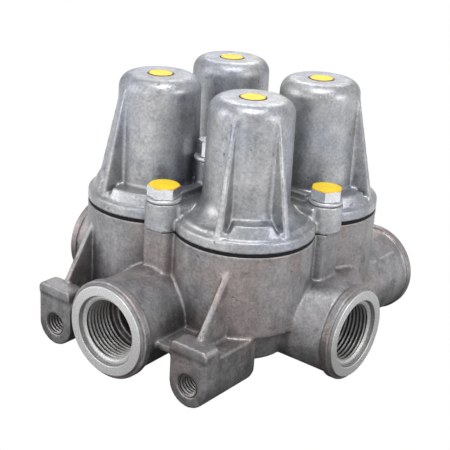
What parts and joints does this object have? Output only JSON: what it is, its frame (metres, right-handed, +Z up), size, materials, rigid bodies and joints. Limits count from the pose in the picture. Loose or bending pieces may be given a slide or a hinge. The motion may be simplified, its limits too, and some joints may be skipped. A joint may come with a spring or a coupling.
{
  "type": "four circuit protection valve",
  "caption": "Cast aluminium protection valve for truck air brakes, with a cloverleaf cover of spring towers on a housing with threaded air ports and mounting ears.",
  "frame": {"origin": "centre of the flat underside, on the axis between the four spring towers", "axes": "+Z up along the towers, -Y out of the supply port between the mounting ears, +X out of the right-hand delivery port"},
  "size_m": [0.126, 0.1251, 0.1016],
  "materials": {
    "housing_casting": "as cast, satin, warm grey",
    "cover_casting": "die cast, satin, light grey",
    "rubber": "matt black",
    "zinc_steel": "bright zinc plated",
    "spring_steel": "oiled spring steel",
    "turned_aluminium": "turned",
    "yellow_seal": "yellow sealing paint"
  },
  "bodies": {
    "valve_body": {"lower_housing": "housing_casting", "spring_cover": "cover_casting", "seal_sheet": "rubber", "cover_bolts": "zinc_steel", "cover_washers": "zinc_steel", "inner_bolts": "zinc_steel", "inner_washers": "zinc_steel", "diaphragm_21": "rubber", "pressure_spring_21": "spring_steel", "spring_seat_21": "turned_aluminium", "adjusting_screw_21": "zinc_steel", "seal_plug_21": "yellow_seal", "check_spring_21": "spring_steel", "diaphragm_22": "rubber", "pressure_spring_22": "spring_steel", "spring_seat_22": "turned_aluminium", "adjusting_screw_22": "zinc_steel", "seal_plug_22": "yellow_seal", "check_spring_22": "spring_steel", "diaphragm_23": "rubber", "pressure_spring_23": "spring_steel", "spring_seat_23": "turned_aluminium", "adjusting_screw_23": "zinc_steel", "seal_plug_23": "yellow_seal", "check_spring_23": "spring_steel", "diaphragm_24": "rubber", "pressure_spring_24": "spring_steel", "spring_seat_24": "turned_aluminium", "adjusting_screw_24": "zinc_steel", "seal_plug_24": "yellow_seal", "check_spring_24": "spring_steel"},
    "overflow_valve_21": {"valve_piston_21": "turned_aluminium", "valve_rubber_21": "rubber", "spring_plate_21": "turned_aluminium"},
    "check_disc_21": {"check_valve_21": "turned_aluminium"},
    "overflow_valve_22": {"valve_piston_22": "turned_aluminium", "valve_rubber_22": "rubber", "spring_plate_22": "turned_aluminium"},
    "check_disc_22": {"check_valve_22": "turned_aluminium"},
    "overflow_valve_23": {"valve_piston_23": "turned_aluminium", "valve_rubber_23": "rubber", "spring_plate_23": "turned_aluminium"},
    "check_disc_23": {"check_valve_23": "turned_aluminium"},
    "overflow_valve_24": {"valve_piston_24": "turned_aluminium", "valve_rubber_24": "rubber", "spring_plate_24": "turned_aluminium"},
    "check_disc_24": {"check_valve_24": "turned_aluminium"}
  },
  "joints": [
    {"name": "overflow_lift_21", "type": "slide", "parent": "valve_body", "child": "overflow_valve_21", "axis": [0, 0, 1], "range_m": [0, 0.0022], "stiffness_N_per_m": 18000, "springref_m": -0.014, "deforming": ["pressure_spring_21", "diaphragm_21"]},
    {"name": "overflow_lift_22", "type": "slide", "parent": "valve_body", "child": "overflow_valve_22", "axis": [0, 0, 1], "range_m": [0, 0.0022], "stiffness_N_per_m": 18000, "springref_m": -0.014, "deforming": ["pressure_spring_22", "diaphragm_22"]},
    {"name": "overflow_lift_23", "type": "slide", "parent": "valve_body", "child": "overflow_valve_23", "axis": [0, 0, 1], "range_m": [0, 0.0022], "stiffness_N_per_m": 18000, "springref_m": -0.014, "deforming": ["pressure_spring_23", "diaphragm_23"]},
    {"name": "overflow_lift_24", "type": "slide", "parent": "valve_body", "child": "overflow_valve_24", "axis": [0, 0, 1], "range_m": [0, 0.0022], "stiffness_N_per_m": 18000, "springref_m": -0.014, "deforming": ["pressure_spring_24", "diaphragm_24"]},
    {"name": "check_lift_21", "type": "slide", "parent": "valve_body", "child": "check_disc_21", "axis": [0, 0, -1], "range_m": [0, 0.002], "stiffness_N_per_m": 400, "springref_m": -0.004, "deforming": ["check_spring_21"]},
    {"name": "check_lift_22", "type": "slide", "parent": "valve_body", "child": "check_disc_22", "axis": [0, 0, -1], "range_m": [0, 0.002], "stiffness_N_per_m": 400, "springref_m": -0.004, "deforming": ["check_spring_22"]},
    {"name": "check_lift_23", "type": "slide", "parent": "valve_body", "child": "check_disc_23", "axis": [0, 0, -1], "range_m": [0, 0.002], "stiffness_N_per_m": 400, "springref_m": -0.004, "deforming": ["check_spring_23"]},
    {"name": "check_lift_24", "type": "slide", "parent": "valve_body", "child": "check_disc_24", "axis": [0, 0, -1], "range_m": [0, 0.002], "stiffness_N_per_m": 400, "springref_m": -0.004, "deforming": ["check_spring_24"]}
  ]
}
